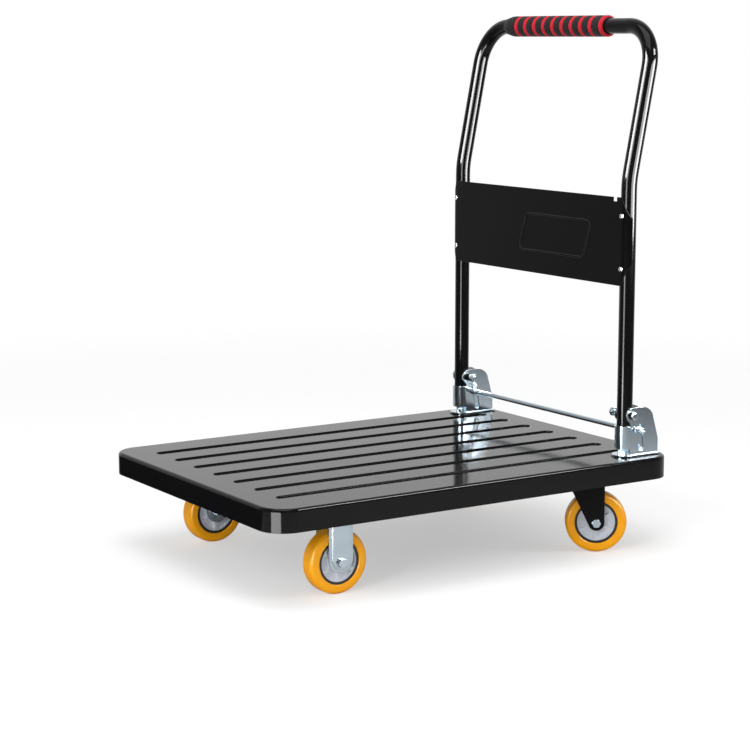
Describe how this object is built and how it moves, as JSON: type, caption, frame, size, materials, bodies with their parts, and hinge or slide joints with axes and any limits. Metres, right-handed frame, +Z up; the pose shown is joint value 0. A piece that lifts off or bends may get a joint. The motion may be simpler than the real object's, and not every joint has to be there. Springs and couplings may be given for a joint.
{
  "type": "folding platform cart",
  "caption": "Flat platform hand cart with a fold-down tubular handle, sprung lock rod, two rigid and two swivel casters, and a foam grip on the bar.",
  "frame": {"origin": "on the floor under the middle of the platform", "axes": "+Z up, +X along the platform to the handle's end, +Y to the right side as seen by the person who pushes the cart"},
  "size_m": [0.756, 0.54, 0.8665],
  "materials": {
    "gloss_black_paint": "gloss",
    "satin_black_paint": "satin",
    "zinc_steel": "bright zinc plate",
    "bright_steel": "polished",
    "spring_steel": "bright",
    "tread_urethane": "gloss",
    "band_plastic": "satin",
    "hub_plastic": "satin",
    "grip_foam": "matt foam",
    "ring_foam": "matt foam"
  },
  "bodies": {
    "platform": {"deck": "gloss_black_paint", "rail_left": "satin_black_paint", "rail_right": "satin_black_paint", "front_cross_member": "satin_black_paint", "middle_cross_member": "satin_black_paint", "rear_cross_member": "satin_black_paint", "bracket_left": "zinc_steel", "bracket_right": "zinc_steel", "bracket_bolts": "zinc_steel", "bracket_nuts": "zinc_steel", "front_fork_left": "zinc_steel", "front_fork_right": "zinc_steel", "front_axles": "zinc_steel", "front_axle_nuts": "zinc_steel", "swivel_plate_left": "satin_black_paint", "swivel_plate_right": "satin_black_paint", "kingpins": "zinc_steel", "caster_bolts": "zinc_steel", "caster_nuts": "zinc_steel", "spring_left": "spring_steel", "spring_right": "spring_steel"},
    "handle": {"handle_tube": "gloss_black_paint", "handle_grip": "grip_foam", "grip_rings": "ring_foam", "handle_panel": "satin_black_paint", "panel_rivets": "bright_steel", "pivot_bushes": "gloss_black_paint", "pivot_pins": "zinc_steel", "pivot_nuts": "zinc_steel"},
    "lock": {"lock_rod": "zinc_steel", "lock_rod_washers": "zinc_steel", "lock_rod_nuts": "zinc_steel", "lock_rod_collars": "zinc_steel"},
    "swivel_left": {"swivel_fork_left": "satin_black_paint", "bearing_balls_left": "bright_steel", "rear_axle_left": "zinc_steel", "rear_axle_nut_left": "zinc_steel"},
    "swivel_right": {"swivel_fork_right": "satin_black_paint", "bearing_balls_right": "bright_steel", "rear_axle_right": "zinc_steel", "rear_axle_nut_right": "zinc_steel"},
    "wheel_front_left": {"tyre_front_left": "tread_urethane", "band_front_left": "band_plastic", "hub_front_left": "hub_plastic", "bearing_front_left": "bright_steel"},
    "wheel_front_right": {"tyre_front_right": "tread_urethane", "band_front_right": "band_plastic", "hub_front_right": "hub_plastic", "bearing_front_right": "bright_steel"},
    "wheel_rear_left": {"tyre_rear_left": "tread_urethane", "band_rear_left": "band_plastic", "hub_rear_left": "hub_plastic", "bearing_rear_left": "bright_steel"},
    "wheel_rear_right": {"tyre_rear_right": "tread_urethane", "band_rear_right": "band_plastic", "hub_rear_right": "hub_plastic", "bearing_rear_right": "bright_steel"}
  },
  "joints": [
    {"name": "handle_fold", "type": "hinge", "parent": "platform", "child": "handle", "pos_m": [0.3076, 0, 0.2265], "axis": [0, -1, 0], "range_deg": [0, 90]},
    {"name": "lock_rod_slide", "type": "slide", "parent": "platform", "child": "lock", "axis": [0.2079, 0, -0.9781], "range_m": [0, 0.0275], "deforming": ["spring_left", "spring_right"]},
    {"name": "swivel_left_turn", "type": "hinge", "parent": "platform", "child": "swivel_left", "pos_m": [0.253, -0.19403, 0.12], "axis": [0, 0, 1], "continuous": true},
    {"name": "swivel_right_turn", "type": "hinge", "parent": "platform", "child": "swivel_right", "pos_m": [0.253, 0.19403, 0.12], "axis": [0, 0, 1], "continuous": true},
    {"name": "wheel_front_left_spin", "type": "hinge", "parent": "platform", "child": "wheel_front_left", "pos_m": [-0.228, -0.19403, 0.05], "axis": [0, 1, 0], "continuous": true},
    {"name": "wheel_front_right_spin", "type": "hinge", "parent": "platform", "child": "wheel_front_right", "pos_m": [-0.228, 0.19403, 0.05], "axis": [0, 1, 0], "continuous": true},
    {"name": "wheel_rear_left_spin", "type": "hinge", "parent": "swivel_left", "child": "wheel_rear_left", "pos_m": [0.26775, -0.20435, 0.05], "axis": [0.5736, 0.8192, 0], "continuous": true},
    {"name": "wheel_rear_right_spin", "type": "hinge", "parent": "swivel_right", "child": "wheel_rear_right", "pos_m": [0.26775, 0.1837, 0.05], "axis": [0.5736, 0.8192, 0], "continuous": true}
  ],
  "couplings": [
    {"joint": "lock_rod_slide", "follows": "handle_fold", "m_per_rad": 0.0175}
  ]
}
